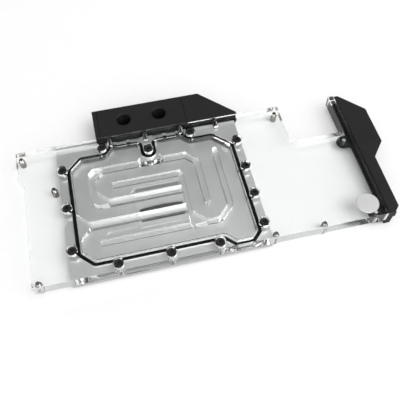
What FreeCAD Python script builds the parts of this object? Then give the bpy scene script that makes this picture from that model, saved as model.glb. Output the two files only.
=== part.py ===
import FreeCAD, Part
import math
import os

# Millimetres. X runs along the length, Y away from the viewer, Z up from the feet.
V = FreeCAD.Vector

# Heights
FOOT_Z = 0.0
CLEAR_Z = 6.5
CLEAR_THICK = 10.0
TOP_Z = CLEAR_Z + CLEAR_THICK
PLATE_THICK = 4.5
PLATE_Z = CLEAR_Z - PLATE_THICK
LANE_DEEP = 6.5
LANE_ROOF = CLEAR_Z + LANE_DEEP

# Clear cover outline
LENGTH = 262.0
WIDTH = 118.0
TAB_OUT = 4.5
TAB_FROM = WIDTH * 0.78
TAB_ROOT = TAB_FROM - TAB_OUT - 1.0
NOTCH_X0 = LENGTH * 0.8084
NOTCH_X1 = LENGTH - 5.2
NOTCH_Y = WIDTH * 0.6805
EDGE_BREAK = 0.4

# Cold plate
PLATE_X0 = LENGTH * 0.09924
PLATE_LONG = LENGTH * 0.5649
PLATE_X1 = PLATE_X0 + PLATE_LONG
PLATE_Y0 = 0.8
PLATE_Y1 = WIDTH - 2.0
PLATE_WIDE = PLATE_Y1 - PLATE_Y0
PAD_HALF = 15.0
PAD_TALL = 0.6

# Gasket cord and its groove
CORD = 2.0
GROOVE_HALF = 1.35
LANE_INSET = 2.4
RIB_R = 2.0
BEND_R = 3.0
HOOK_END_R = PLATE_LONG * 0.0135
ELBOW_END_R = PLATE_LONG * 0.0149
CORNER_CUT = 10.2
DETOUR_LONG = 19.8
DETOUR_OUT = 7.1

# Clamp screws, M4 socket heads
SCREW_R = 2.0
HEAD_R = 3.5
HEAD_TALL = 4.0
HEAD_SUNK = 0.5
HEX_ACROSS = 3.0
HEX_DEEP = 2.2
BORE_R = 4.1
HOLE_R = 2.15
SCREW_LONG = TOP_Z - HEAD_SUNK - HEAD_TALL - PLATE_Z
EDGE_TO_SCREW = 3.9
LEFT_X = PLATE_X0 + EDGE_TO_SCREW
LEFT_Y = tuple(PLATE_Y0 + PLATE_WIDE * share for share in (0.193, 0.504, 0.804))
RIGHT_X = PLATE_X1 - EDGE_TO_SCREW
RIGHT_Y = tuple(PLATE_Y0 + PLATE_WIDE * share for share in (0.122, 0.348, 0.569, 0.795))
FRONT_X = tuple(PLATE_X0 + PLATE_LONG * share for share in (0.235, 0.492, 0.734))
FRONT_Y = PLATE_Y0 + 5.2
REAR_Y = PLATE_Y1 - 7.1
REAR_STEP = 9.5
CENTRE_X = PLATE_X0 + PLATE_LONG * 0.4922

# Fins and jet plate
DIE_X = PLATE_X0 + PLATE_LONG * 0.4946
DIE_Y = PLATE_Y0 + PLATE_WIDE * 0.4523
FIN_PITCH = 0.8
FIN_SLOT = 0.4
FIN_COUNT = 43
FIN_X0 = DIE_X - (FIN_COUNT - 0.5) * FIN_PITCH / 2
FIN_HALF_Y = 16.5
FIN_DEEP = 2.0
JET_THICK = 1.0
JET_HALF = 18.5
JET_Y0 = DIE_Y - 18.3
JET_Y1 = DIE_Y + 9.5
JET_GAP = 0.05
FEED_Y0 = DIE_Y - 5.3
FEED_WIDE = 2.6
FEED_BOW = 1.1
OUTLET_Y0 = DIE_Y - 14.1
OUTLET_WIDE = 3.4
SLOT_HALF = 16.7
POCKET_LONG = 25.0
POCKET_R = 3.3
POCKET_BACK_Y = DIE_Y + 17.7

# Terminal
TERM_HALF = 35.95
TERM_X0 = CENTRE_X - TERM_HALF
TERM_X1 = CENTRE_X + TERM_HALF
TERM_DEEP = 29.0
TERM_Y1 = WIDTH + TERM_DEEP
TERM_Z = 0.5
PORT_APART = TERM_HALF * 0.818
PORT_X = (CENTRE_X + 0.15 - PORT_APART / 2, CENTRE_X + 0.15 + PORT_APART / 2)
PORT_Y = WIDTH + 15.1
PORT_R = 5.72
PORT_MOUTH = 6.6
PORT_BEVEL = 0.9
PORT_FLOOR = 4.0
PORT_WALL = 5.5
WINDOW_TALL = 2.7
WINDOW_Z1 = LANE_ROOF + 0.8
WINDOW_Z0 = WINDOW_Z1 - WINDOW_TALL
WINDOW_HALF = PORT_APART / 2 - 5.3
COLUMN_HALF = 1.5
RISER_Y0 = WIDTH + 2.6
RISER_Y1 = WIDTH + 6.4
TERM_SCREW_APART = PORT_APART / 2 + WINDOW_HALF + 5.15
TERM_SCREW_X = (CENTRE_X - TERM_SCREW_APART, CENTRE_X, CENTRE_X + TERM_SCREW_APART)
TERM_SCREW_Z = 11.5
REAR_APART = TERM_SCREW_APART + 6.86
REAR = ((CENTRE_X - REAR_APART, REAR_Y), (CENTRE_X, REAR_Y - REAR_STEP), (CENTRE_X + REAR_APART, REAR_Y))
TERM_SCREW_LONG = 30.0
TERM_SCREW_TIP = WIDTH - 8.0
TERM_SEAT_Y = TERM_SCREW_TIP + TERM_SCREW_LONG
SEAL_CORD = 1.4
SEAL_MARGIN = 1.8
SEAL_HALF_X = WINDOW_HALF + SEAL_MARGIN
SEAL_Z0 = WINDOW_Z0 - 1.5
SEAL_Z1 = WINDOW_Z1 + 1.2

# Pieces beside the terminal
STRIP_X0 = TERM_X0 - 3.5
FAIR_LONG = 41.9
FAIR_BACK_LONG = 15.0
FAIR_TIP = (TERM_X1 + FAIR_LONG, WIDTH + 2.2)
FAIR_BACK = TERM_X1 + FAIR_BACK_LONG
FAIR_WALL = 2.5
FAIR_SCREW_IN = 23.0
FAIR_SCREW_X = TERM_X1 + FAIR_SCREW_IN
FAIR_SCREW_Z = 10.0
FAIR_SCREW_TIP = WIDTH - 7.0
FAIR_LEDGE = 1.7

# End cover
COVER_GAP = 0.3
COVER_X0 = LENGTH + COVER_GAP
COVER_Z = 0.5
COVER_WALL = 1.9
COVER_NARROW = 9.7
COVER_STEP_Y = WIDTH * 0.432
COVER_FRONT_Y = 0.2
COVER_BEVEL = 4.7
EAR_THICK = 2.0
EARS = ((LENGTH - 6.6, NOTCH_Y - 6.3, 5.4), (LENGTH - 7.4, 5.3, 4.8))
LEDGE_WIDE = 2.0
LEDGE_Y0 = 0.5
LEDGE_Y1 = WIDTH - 1.0
BEVEL_SCREW_R = 1.25
BEVEL_SCREW_Z = 9.0
BEVEL_SCREW_AT = (COVER_X0 + COVER_NARROW - 0.3 - COVER_BEVEL / 2, COVER_FRONT_Y + COVER_BEVEL / 2)

# Small parts
DISC_AT = (LENGTH - 12.1, 12.1)
DISC_R = 8.5
DISC_THICK = 1.2
STUD_R = 1.5
STUD_LONG = 4.0
STANDOFF_R = 2.4
STANDOFF_Y = (4.8, WIDTH - 4.5)
STANDOFFS = (
    (3.2 - TAB_OUT, STANDOFF_Y[1]), (NOTCH_X0 - 3.5, STANDOFF_Y[1]), (PLATE_X0 - 4.6, NOTCH_Y - 0.5),
    (3.6, STANDOFF_Y[0]), (PLATE_X1 + 2.7, STANDOFF_Y[0]), (NOTCH_X0 + 2.5, STANDOFF_Y[0]))
STANDOFF_HOLE_R = 1.25
STANDOFF_HOLE_DEEP = 4.5

# The origin is the middle of the box round the part, on the surface that the feet stand on
COVER_WIDE = 20.9
MID_X = (COVER_X0 + COVER_WIDE - TAB_OUT) / 2
MID_Y = TERM_Y1 / 2


def box(x0, x1, y0, y1, z0, z1):
    return Part.makeBox(x1 - x0, y1 - y0, z1 - z0, V(x0, y0, z0))


def rod(x, y, r, z0, z1):
    return Part.makeCylinder(r, z1 - z0, V(x, y, z0))


def rod_y(x, z, r, y0, y1):
    return Part.makeCylinder(r, y1 - y0, V(x, y0, z), V(0, 1, 0))


# Closed outline through corners given as (x, y) or (x, y, radius)
def outline(corners, z=0.0):
    count = len(corners)
    starts, arcs, ends = [], [], []
    for i in range(count):
        here = V(corners[i][0], corners[i][1], z)
        radius = corners[i][2] if len(corners[i]) > 2 else 0.0
        if radius == 0.0:
            starts.append(here)
            arcs.append(None)
            ends.append(here)
            continue
        back = V(corners[i - 1][0], corners[i - 1][1], z).sub(here)
        ahead = V(corners[(i + 1) % count][0], corners[(i + 1) % count][1], z).sub(here)
        half = back.getAngle(ahead) / 2.0
        back.normalize()
        ahead.normalize()
        middle = back.add(ahead)
        middle.normalize()
        reach = radius / math.tan(half)
        start = here.add(back.multiply(reach))
        end = here.add(ahead.multiply(reach))
        mid = here.add(middle.multiply(radius / math.sin(half) - radius))
        starts.append(start)
        arcs.append(Part.Arc(start, mid, end).toShape())
        ends.append(end)
    edges = []
    for i in range(count):
        if arcs[i] is not None:
            edges.append(arcs[i])
        after = starts[(i + 1) % count]
        if ends[i].distanceToPoint(after) > 1e-6:
            edges.append(Part.LineSegment(ends[i], after).toShape())
    return Part.Wire(edges)


def prism(corners, z0, z1):
    return Part.Face(outline(corners, z0)).extrude(V(0, 0, z1 - z0))


# Prism whose upper outline is broken by a small bevel
def eased_prism(corners, z0, z1, bevel=EDGE_BREAK):
    solid = prism(corners, z0, z1)
    rim = [e for e in solid.Edges if all(abs(v.Z - z1) < 1e-6 for v in e.Vertexes)]
    return solid.makeChamfer(bevel, rim)


def clamp_places():
    places = [("screw_left", LEFT_X, y) for y in LEFT_Y]
    places += [("screw_right", RIGHT_X, y) for y in RIGHT_Y]
    places += [("screw_front", x, FRONT_Y) for x in FRONT_X]
    places += [("screw_rear", x, y) for x, y in REAR]
    return places


# Centre line of the main cord
def cord_corners():
    x0, x1 = PLATE_X0 + 8.0, PLATE_X1 - 7.8
    y0, y1, y2 = PLATE_Y0 + 9.7, PLATE_Y1 - 11.6, PLATE_Y1 - 5.0
    cx, cy = REAR[1]
    left, right = REAR[0][0] + 1.2, REAR[2][0] - 1.1
    loop = 4.9
    low = cy + 0.4 - loop
    return [
        (x0, y0 + CORNER_CUT, 4), (x0 + CORNER_CUT, y0, 4),
        (x1 - DETOUR_LONG - DETOUR_OUT, y0, 3), (x1 - DETOUR_LONG, y0 - DETOUR_OUT, 3),
        (x1 - DETOUR_OUT + 0.3, y0 - DETOUR_OUT, 4), (x1, y0 - 0.3, 4),
        (x1, y1 - 13.6, 4), (x1 - 13.8, y1, 4), (right, y1, 4), (right - 6.6, y2, 4),
        (cx + loop + 3.4, y2, 3.5), (cx + loop, y2 - 3.4, 3.5), (cx + loop, low, loop - 0.02),
        (cx - loop, low, loop - 0.02), (cx - loop, y2 - 3.4, 3.5), (cx - loop - 3.4, y2, 3.5),
        (left + 6.6, y2, 4), (left, y1, 4), (x0 + CORNER_CUT, y1, 4), (x0, y1 - CORNER_CUT + 0.2, 4)]


# Solid ribs left standing between the lanes. Corners are in percent of the plate's length and width.
def rib_corners():
    wrap = [
        (43.2, 78.2, RIB_R * 0.75), (18.0, 78.2, BEND_R), (15.2, 74.3, BEND_R),
        (15.2, 51.9, BEND_R), (18.1, 48.7, BEND_R), (63.2, 48.7), (63.2, 52.5), (23.9, 52.5, RIB_R),
        (18.2, 60.2, RIB_R), (18.2, 69.6, RIB_R), (23.4, 76.0, RIB_R), (43.2, 76.0)]
    island = [
        (42.3, 76.0), (56.0, 76.0), (56.0, 78.2, RIB_R * 0.75), (54.5, 80.6, BEND_R), (54.5, 96.5),
        (44.0, 96.5), (44.0, 80.6, BEND_R), (42.3, 78.2, RIB_R * 0.75)]
    elbow = [
        (49.2, 76.0), (67.5, 76.0, RIB_R), (71.6, 70.5, RIB_R), (71.6, 35.8, ELBOW_END_R),
        (74.8, 35.8, ELBOW_END_R), (74.8, 70.8, RIB_R), (68.8, 78.2, RIB_R), (49.2, 78.2)]
    peninsula = [
        (4.7, 26.2), (7.2, 26.2), (13.1, 33.9, RIB_R), (37.8, 33.9, RIB_R), (39.9, 36.5, RIB_R),
        (63.2, 36.5), (63.2, 40.3), (37.4, 40.3, RIB_R), (35.5, 37.8, RIB_R), (12.7, 37.8, RIB_R),
        (7.2, 45.0), (4.7, 45.0)]
    first = [
        (26.9, 62.6), (63.2, 62.6), (63.2, 64.5), (26.9, 64.5)]
    fourth = [
        (16.8, 21.1), (77.2, 21.1), (77.2, 23.1), (16.8, 23.1)]
    spine = [
        (62.0, 21.5), (71.6, 21.5), (70.9, 22.9), (64.3, 31.4, RIB_R), (64.3, 62.5, RIB_R),
        (62.7, 64.5), (62.0, 64.5)]
    hook = [
        (75.7, 21.1), (78.6, 21.1, RIB_R), (85.5, 30.2, BEND_R), (85.5, 77.6, HOOK_END_R),
        (82.7, 77.6, HOOK_END_R), (82.7, 31.4, RIB_R), (76.6, 23.1, RIB_R), (75.7, 23.1)]
    ribs = [wrap, island, elbow, peninsula, first, fourth, spine, hook]
    return [[on_plate(*corner) for corner in rib] for rib in ribs]


def on_plate(x_percent, y_percent, radius=0.0):
    return PLATE_X0 + PLATE_LONG * x_percent / 100, PLATE_Y0 + PLATE_WIDE * y_percent / 100, radius


def lanes():
    pocket = Part.Face(outline(cord_corners(), CLEAR_Z - 1)).makeOffset2D(-LANE_INSET)
    pocket = pocket.extrude(V(0, 0, LANE_DEEP + 1))
    ribs = [prism(c, CLEAR_Z - 2, LANE_ROOF + 1) for c in rib_corners()]
    return pocket.cut(ribs)


def cord_groove():
    face = Part.Face(outline(cord_corners(), CLEAR_Z - 1))
    ring = face.makeOffset2D(GROOVE_HALF).cut(face.makeOffset2D(-GROOVE_HALF))
    return ring.extrude(V(0, 0, CORD + 1))


def inlet_windows(y0, y1):
    cuts = []
    for x in PORT_X:
        cuts.append(box(x - WINDOW_HALF, x - COLUMN_HALF, y0, y1, WINDOW_Z0, WINDOW_Z1))
        cuts.append(box(x + COLUMN_HALF, x + WINDOW_HALF, y0, y1, WINDOW_Z0, WINDOW_Z1))
    return cuts


def clear_top():
    body = eased_prism([
        (0, 0), (LENGTH, 0), (LENGTH, WIDTH), (NOTCH_X1, WIDTH), (NOTCH_X1, NOTCH_Y, 2),
        (NOTCH_X0, NOTCH_Y, 7), (NOTCH_X0, WIDTH), (-TAB_OUT, WIDTH), (-TAB_OUT, TAB_FROM),
        (0, TAB_ROOT)], CLEAR_Z, TOP_Z)
    cuts = [lanes(), cord_groove()] + inlet_windows(PLATE_Y1 - 8.5, WIDTH + 1)
    for _, x, y in clamp_places():
        cuts.append(rod(x, y, BORE_R, TOP_Z - HEAD_SUNK - HEAD_TALL, TOP_Z + 1))
        cuts.append(rod(x, y, HOLE_R, CLEAR_Z - 1, TOP_Z - 1))
    for x in TERM_SCREW_X:
        cuts.append(rod_y(x, TERM_SCREW_Z, SCREW_R, TERM_SCREW_TIP, WIDTH + 1))
    cuts.append(rod_y(FAIR_SCREW_X, FAIR_SCREW_Z, SCREW_R, FAIR_SCREW_TIP, WIDTH + 1))
    for x, y in STANDOFFS:
        cuts.append(rod(x, y, STUD_R, CLEAR_Z - 1, CLEAR_Z + STUD_LONG))
    for x, y, _ in EARS:
        cuts.append(rod(x, y, STUD_R, CLEAR_Z - 1, CLEAR_Z + STUD_LONG))
    cuts.append(rod(DISC_AT[0], DISC_AT[1], DISC_R, TOP_Z - DISC_THICK, TOP_Z + 1))
    return body.cut(cuts)


def cold_plate():
    body = prism([
        (PLATE_X0, PLATE_Y0), (PLATE_X1, PLATE_Y0), (PLATE_X1, PLATE_Y1), (PLATE_X0, PLATE_Y1),
        (PLATE_X0, DIE_Y + 4.7, 1), (PLATE_X0 + 2.4, DIE_Y + 2.3, 1),
        (PLATE_X0 + 2.4, DIE_Y - 4.1, 1), (PLATE_X0, DIE_Y - 6.5, 1)], PLATE_Z, CLEAR_Z)
    body = body.fuse(box(DIE_X - PAD_HALF, DIE_X + PAD_HALF, DIE_Y - PAD_HALF, DIE_Y + PAD_HALF,
                         PLATE_Z - PAD_TALL, PLATE_Z + 0.4)).removeSplitter()
    floor = CLEAR_Z - JET_THICK
    left, right = DIE_X - JET_HALF, DIE_X + JET_HALF
    cuts = [box(left, right, JET_Y0, DIE_Y + FIN_HALF_Y, floor, CLEAR_Z + 1)]
    cuts.append(prism([(left - 4.6, JET_Y1 + 1.8, 1), (right, JET_Y1 + 1.8), (right, POCKET_BACK_Y, 2),
                       (left + 1.4, POCKET_BACK_Y, 1)], floor, CLEAR_Z + 1))
    front, back = JET_Y0 + 1.8 - 2 * POCKET_R - 0.2, JET_Y0 + 1.8
    cuts.append(prism([(left - POCKET_LONG, front, POCKET_R), (right, front, POCKET_R),
                       (right, back, POCKET_R), (left - POCKET_LONG, back, POCKET_R)],
                      floor, CLEAR_Z + 1))
    for i in range(FIN_COUNT):
        x = FIN_X0 + i * FIN_PITCH
        cuts.append(box(x, x + FIN_SLOT, DIE_Y - FIN_HALF_Y, DIE_Y + FIN_HALF_Y,
                        floor - FIN_DEEP, floor + 0.5))
    for _, x, y in clamp_places():
        cuts.append(rod(x, y, SCREW_R, PLATE_Z - 1, CLEAR_Z + 1))
    return body.cut(cuts)


# Thin plate over the fins, with a bowed feed slot and a straight outlet slot
def jet_plate():
    z0 = CLEAR_Z - JET_THICK
    half = JET_HALF - JET_GAP
    body = box(DIE_X - half, DIE_X + half, JET_Y0 + JET_GAP, JET_Y1, z0, CLEAR_Z)
    left, right = DIE_X - SLOT_HALF, DIE_X + SLOT_HALF
    side = FEED_Y0 + FEED_WIDE
    bow = Part.Arc(V(right, side, z0), V(DIE_X, side + FEED_BOW, z0), V(left, side, z0)).toShape()
    sides = Part.makePolygon([V(left, side, z0), V(left, FEED_Y0, z0),
                              V(right, FEED_Y0, z0), V(right, side, z0)])
    feed = Part.Face(Part.Wire(sides.Edges + [bow])).extrude(V(0, 0, JET_THICK))
    outlet = box(left, right, OUTLET_Y0, OUTLET_Y0 + OUTLET_WIDE, z0, CLEAR_Z)
    return body.cut([feed, outlet])


# Round cord swept along a closed path
def cord_ring(path, radius):
    first = path.Edges[0]
    heading = first.tangentAt(first.FirstParameter)
    section = Part.Wire([Part.makeCircle(radius, first.Vertexes[0].Point, heading)])
    return path.makePipeShell([section], True, True)


def main_gasket():
    return cord_ring(outline(cord_corners(), CLEAR_Z + CORD / 2), CORD / 2)


# Socket head screw standing on z = 0 of its own, tip down, head up
def socket_screw(head_r, head_tall, shank_r, shank_long, hex_across, hex_deep):
    head = Part.makeCylinder(head_r, head_tall)
    rim = [e for e in head.Edges if abs(e.BoundBox.ZMin - head_tall) < 1e-6]
    head = head.makeChamfer(0.4, rim)
    screw = head.fuse(Part.makeCylinder(shank_r, shank_long, V(0, 0, -shank_long))).removeSplitter()
    reach = hex_across / math.sqrt(3.0)
    turns = [k * math.pi / 3 for k in range(7)]
    floor = head_tall - hex_deep
    points = [V(reach * math.cos(turn), reach * math.sin(turn), floor) for turn in turns]
    return screw.cut(Part.Face(Part.makePolygon(points)).extrude(V(0, 0, hex_deep + 1)))


def clamp_screw(x, y):
    screw = socket_screw(HEAD_R, HEAD_TALL, SCREW_R, SCREW_LONG, HEX_ACROSS, HEX_DEEP)
    screw.translate(V(x, y, TOP_Z - HEAD_SUNK - HEAD_TALL))
    return screw


def flat_screw(x, z, seat_y, tip_y):
    screw = socket_screw(HEAD_R, HEAD_TALL, SCREW_R, seat_y - tip_y, HEX_ACROSS, HEX_DEEP)
    screw.rotate(V(0, 0, 0), V(1, 0, 0), -90)
    screw.translate(V(x, seat_y, z))
    return screw


def seal_corners(x):
    return [(x - SEAL_HALF_X, SEAL_Z0, 1.6), (x + SEAL_HALF_X, SEAL_Z0, 1.6),
            (x + SEAL_HALF_X, SEAL_Z1, 1.6), (x - SEAL_HALF_X, SEAL_Z1, 1.6)]


# Turns a flat outline drawn in X and Y up on its edge, at the back of the clear cover
def stand_up(shape, y):
    shape.rotate(V(0, 0, 0), V(1, 0, 0), 90)
    shape.translate(V(0, y, 0))
    return shape


def seal_groove(x):
    face = Part.Face(outline(seal_corners(x)))
    ring = face.makeOffset2D(SEAL_CORD / 2 + 0.1).cut(face.makeOffset2D(-SEAL_CORD / 2 - 0.1))
    return stand_up(ring.extrude(V(0, 0, -SEAL_CORD)), WIDTH)


def terminal_gasket(x):
    cord = cord_ring(outline(seal_corners(x)), SEAL_CORD / 2)
    return stand_up(cord, WIDTH + SEAL_CORD / 2)


# Port bore, its bevelled mouth, and the way from its foot up to the windows of the clear cover
def port_cuts(x):
    bore = rod(x, PORT_Y, PORT_R, PORT_FLOOR, TOP_Z + 1)
    mouth = Part.makeCone(PORT_R, PORT_MOUTH, PORT_BEVEL, V(x, PORT_Y, TOP_Z - PORT_BEVEL))
    window = box(x - WINDOW_HALF, x + WINDOW_HALF, WIDTH - 1, RISER_Y0 + 0.1, WINDOW_Z0, WINDOW_Z1)
    riser = box(x - WINDOW_HALF, x + WINDOW_HALF, RISER_Y0, RISER_Y1, PORT_FLOOR, WINDOW_Z1)
    foot = box(x - PORT_R, x + PORT_R, RISER_Y1 - 0.1, PORT_Y, PORT_FLOOR, PORT_FLOOR + PORT_WALL)
    return [bore, mouth, window, riser, foot]


def terminal_block():
    body = eased_prism([(TERM_X0, WIDTH), (TERM_X1, WIDTH), (TERM_X1, TERM_Y1), (TERM_X0, TERM_Y1)],
                       TERM_Z, TOP_Z)
    cuts = []
    for x in PORT_X:
        cuts += port_cuts(x) + [seal_groove(x)]
    for x in TERM_SCREW_X:
        cuts.append(rod_y(x, TERM_SCREW_Z, HOLE_R, WIDTH - 1, TERM_Y1))
        cuts.append(rod_y(x, TERM_SCREW_Z, HEAD_R + 0.3, TERM_SEAT_Y, TERM_Y1 + 1))
    return body.cut(cuts)


def terminal_end_plate():
    return eased_prism([(STRIP_X0, WIDTH), (TERM_X0, WIDTH), (TERM_X0, TERM_Y1), (STRIP_X0, TERM_Y1)],
                       TERM_Z, TOP_Z)


def terminal_fairing():
    corners = [(TERM_X1, WIDTH), (FAIR_TIP[0], WIDTH), FAIR_TIP, (FAIR_BACK, TERM_Y1),
               (TERM_X1, TERM_Y1)]
    body = eased_prism(corners, TERM_Z, TOP_Z)
    inside = Part.Face(outline(corners, TERM_Z - 1)).makeOffset2D(-FAIR_WALL)
    body = body.cut(inside.extrude(V(0, 0, TOP_Z - TERM_Z + 1 - FAIR_WALL)))
    body = body.fuse(box(TERM_X1, FAIR_TIP[0], WIDTH - FAIR_LEDGE, WIDTH + 1, CLEAR_Z - EAR_THICK, CLEAR_Z))
    return body.removeSplitter().cut(
        rod_y(FAIR_SCREW_X, FAIR_SCREW_Z, HOLE_R, WIDTH - 1, WIDTH + FAIR_WALL + 1))


# Round ear under the clear cover, with its two inner corners rounded towards the ledge
def ear(x, y, r):
    far, edge, bend = COVER_X0 + 0.8, LENGTH - LEDGE_WIDE, 0.4 * r
    plate = prism([(far, y - r - bend), (far, y + r + bend), (edge, y + r + bend),
                   (edge, y + r, bend - 0.02), (x - r, y + r, r - 0.02), (x - r, y - r, r - 0.02),
                   (edge, y - r, bend - 0.02), (edge, y - r - bend)], CLEAR_Z - EAR_THICK, CLEAR_Z)
    return plate.common(box(x - r, far, LEDGE_Y0, LEDGE_Y1, CLEAR_Z - EAR_THICK, CLEAR_Z))


def end_cover():
    narrow, wide, back = COVER_X0 + COVER_NARROW, COVER_X0 + COVER_WIDE, WIDTH - 0.7
    corners = [
        (COVER_X0, COVER_FRONT_Y), (narrow - 0.3 - COVER_BEVEL, COVER_FRONT_Y),
        (narrow - 0.3, COVER_FRONT_Y + COVER_BEVEL), (narrow, COVER_STEP_Y),
        (wide, COVER_STEP_Y + 13.2, 1.5),
        (wide, back - 18.6, 1.5), (COVER_X0 + 3.0, back), (COVER_X0, back)]
    body = eased_prism(corners, COVER_Z, TOP_Z, 0.5)
    inside = Part.Face(outline(corners, COVER_Z - 1)).makeOffset2D(-COVER_WALL)
    body = body.cut(inside.extrude(V(0, 0, TOP_Z - COVER_Z + 1 - COVER_WALL)))
    body = body.fuse(box(LENGTH - LEDGE_WIDE, COVER_X0 + 0.8, LEDGE_Y0, LEDGE_Y1,
                         CLEAR_Z - EAR_THICK, CLEAR_Z))
    body = body.fuse([ear(*place) for place in EARS]).removeSplitter()
    holes = [rod(x, y, STUD_R + 0.15, 0, CLEAR_Z + 1) for x, y, _ in EARS]
    deep = COVER_WALL + 0.5
    holes.append(face_bevel(Part.makeCylinder(BEVEL_SCREW_R + 0.1, deep + 1, V(0, 0, -deep))))
    return body.cut(holes)


# Turns a shape that stands on z = 0 to stand on the cover's bevelled corner
def face_bevel(shape):
    shape.rotate(V(0, 0, 0), V(1, 1, 0), 90)
    shape.translate(V(BEVEL_SCREW_AT[0], BEVEL_SCREW_AT[1], BEVEL_SCREW_Z))
    return shape


def bevel_screw():
    return face_bevel(socket_screw(2.1, 1.5, BEVEL_SCREW_R, 4.5, 1.5, 0.9))


# Low head screw driven upward through an ear
def ear_screw(x, y):
    screw = socket_screw(2.75, 1.8, STUD_R, EAR_THICK + STUD_LONG, 2.0, 1.2)
    screw.rotate(V(0, 0, 0), V(1, 0, 0), 180)
    screw.translate(V(x, y, CLEAR_Z - EAR_THICK))
    return screw


# Round foot with a stud that enters the clear cover and a tapped hole below
def standoff(x, y):
    body = rod(x, y, STANDOFF_R, FOOT_Z, CLEAR_Z).fuse(rod(x, y, STUD_R, CLEAR_Z, CLEAR_Z + STUD_LONG))
    body = body.removeSplitter()
    return body.cut(rod(x, y, STANDOFF_HOLE_R, FOOT_Z - 1, FOOT_Z + STANDOFF_HOLE_DEEP))


def badge_disc():
    disc = rod(DISC_AT[0], DISC_AT[1], DISC_R, TOP_Z - DISC_THICK, TOP_Z)
    rim = [e for e in disc.Edges if abs(e.BoundBox.ZMin - TOP_Z) < 1e-6]
    return disc.makeChamfer(0.25, rim)


def pieces():
    made = {
        "clear_top": clear_top(), "cold_plate": cold_plate(), "jet_plate": jet_plate(),
        "main_gasket": main_gasket(), "terminal_block": terminal_block(),
        "terminal_gasket_left": terminal_gasket(PORT_X[0]),
        "terminal_gasket_right": terminal_gasket(PORT_X[1]),
        "terminal_end_plate": terminal_end_plate(), "terminal_fairing": terminal_fairing(),
        "end_cover": end_cover(), "badge_disc": badge_disc(),
        "fairing_screw": flat_screw(FAIR_SCREW_X, FAIR_SCREW_Z, WIDTH + FAIR_WALL, FAIR_SCREW_TIP)}
    counts = {}
    for side, x, y in clamp_places():
        counts[side] = counts.get(side, 0) + 1
        made["%s_%d" % (side, counts[side])] = clamp_screw(x, y)
    for i, x in enumerate(TERM_SCREW_X):
        made["terminal_screw_%d" % (i + 1)] = flat_screw(x, TERM_SCREW_Z, TERM_SEAT_Y, TERM_SCREW_TIP)
    for i, (x, y, _) in enumerate(EARS):
        made["cover_screw_%d" % (i + 1)] = ear_screw(x, y)
    made["bevel_screw"] = bevel_screw()
    for i, (x, y) in enumerate(STANDOFFS):
        made["standoff_%d" % (i + 1)] = standoff(x, y)
    return made


os.makedirs("parts", exist_ok=True)
for name, shape in pieces().items():
    solid = shape.Solids[0] if len(shape.Solids) == 1 else shape
    solid.translate(V(-MID_X, -MID_Y, 0))
    solid.exportStep("parts/%s.step" % name)
    print(name, len(shape.Solids), shape.isValid(), round(shape.Volume, 1))
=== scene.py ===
"""Looks of a clear-topped liquid cooling block for a graphics card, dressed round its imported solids."""

import logging
import math
from collections.abc import Callable
from dataclasses import dataclass, field
from enum import Enum

import bmesh
import bpy
import numpy as np
from bmesh.types import BMesh, BMFace, BMVert
from bpy.types import ID, Material, Mesh, Node, NodeSocket, NodeTree, Object
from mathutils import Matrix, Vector


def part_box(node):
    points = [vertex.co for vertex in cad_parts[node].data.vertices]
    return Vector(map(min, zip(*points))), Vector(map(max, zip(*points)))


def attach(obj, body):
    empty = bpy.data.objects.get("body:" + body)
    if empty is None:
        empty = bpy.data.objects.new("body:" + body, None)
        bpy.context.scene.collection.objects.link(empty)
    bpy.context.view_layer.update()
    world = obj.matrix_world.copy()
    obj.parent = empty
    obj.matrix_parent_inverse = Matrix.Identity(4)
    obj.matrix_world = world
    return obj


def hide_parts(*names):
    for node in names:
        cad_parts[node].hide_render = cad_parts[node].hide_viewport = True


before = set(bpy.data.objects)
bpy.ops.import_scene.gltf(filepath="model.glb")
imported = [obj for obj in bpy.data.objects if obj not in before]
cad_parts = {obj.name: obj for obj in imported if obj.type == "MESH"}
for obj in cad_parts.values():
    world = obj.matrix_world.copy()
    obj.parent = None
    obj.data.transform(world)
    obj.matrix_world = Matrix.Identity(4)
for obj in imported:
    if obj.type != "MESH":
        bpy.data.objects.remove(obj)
log = logging.getLogger("water_block")

MM = 0.001
ROOT = "root"
MATH = "ShaderNodeMath"
WELD = 0.004
SPECK = 1e-12
WAVE_PITCH = math.pi / 10
SMOOTHEST = 0.02

Feed = NodeSocket | Node | float
Triple = tuple[float, float, float]


def linear(code: str) -> tuple[float, float, float, float]:
    """Turns an sRGB hex colour to the linear values that Blender's sockets take.

    Args:
        code: colour as "#rrggbb".

    Returns:
        Red, green, blue and an alpha of 1.
    """
    parts = [int(code[i:i + 2], 16) / 255 for i in (1, 3, 5)]
    red, green, blue = [p / 12.92 if p <= 0.04045 else ((p + 0.055) / 1.055) ** 2.4 for p in parts]
    return red, green, blue, 1.0


def feed(tree: NodeTree, socket: NodeSocket, value: Feed | tuple) -> None:
    """Gives an input its value or its link.

    Args:
        tree: node tree.
        socket: the input.
        value: a plain value, an output socket, or a node whose first output feeds the input.
    """
    source = value.outputs[0] if isinstance(value, Node) else value
    if isinstance(source, NodeSocket):
        tree.links.new(source, socket)
    else:
        socket.default_value = source


def add_node(tree: NodeTree, kind: str, inputs: dict | None = None, **settings) -> Node:
    """Adds one node with its settings and its inputs.

    Args:
        tree: node tree that gets the node.
        kind: the node's type name.
        inputs: socket name or number to what feeds it.
        settings: attributes of the node.

    Returns:
        The new node.
    """
    node = tree.nodes.new(kind)
    for name, value in settings.items():
        setattr(node, name, value)
    for key, value in (inputs or {}).items():
        feed(tree, node.inputs[key], value)
    return node


class Pattern(Enum):
    """How a surface was made, with the stretch of its fine relief along X, Y and Z."""

    GRAIN = (1.0, 1.0, 1.0)
    BRUSHED = (0.02, 1.0, 1.0)
    MILLED = (1.0, 0.05, 0.05)
    TURNED = (0.0, 0.0, 0.0)


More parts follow.
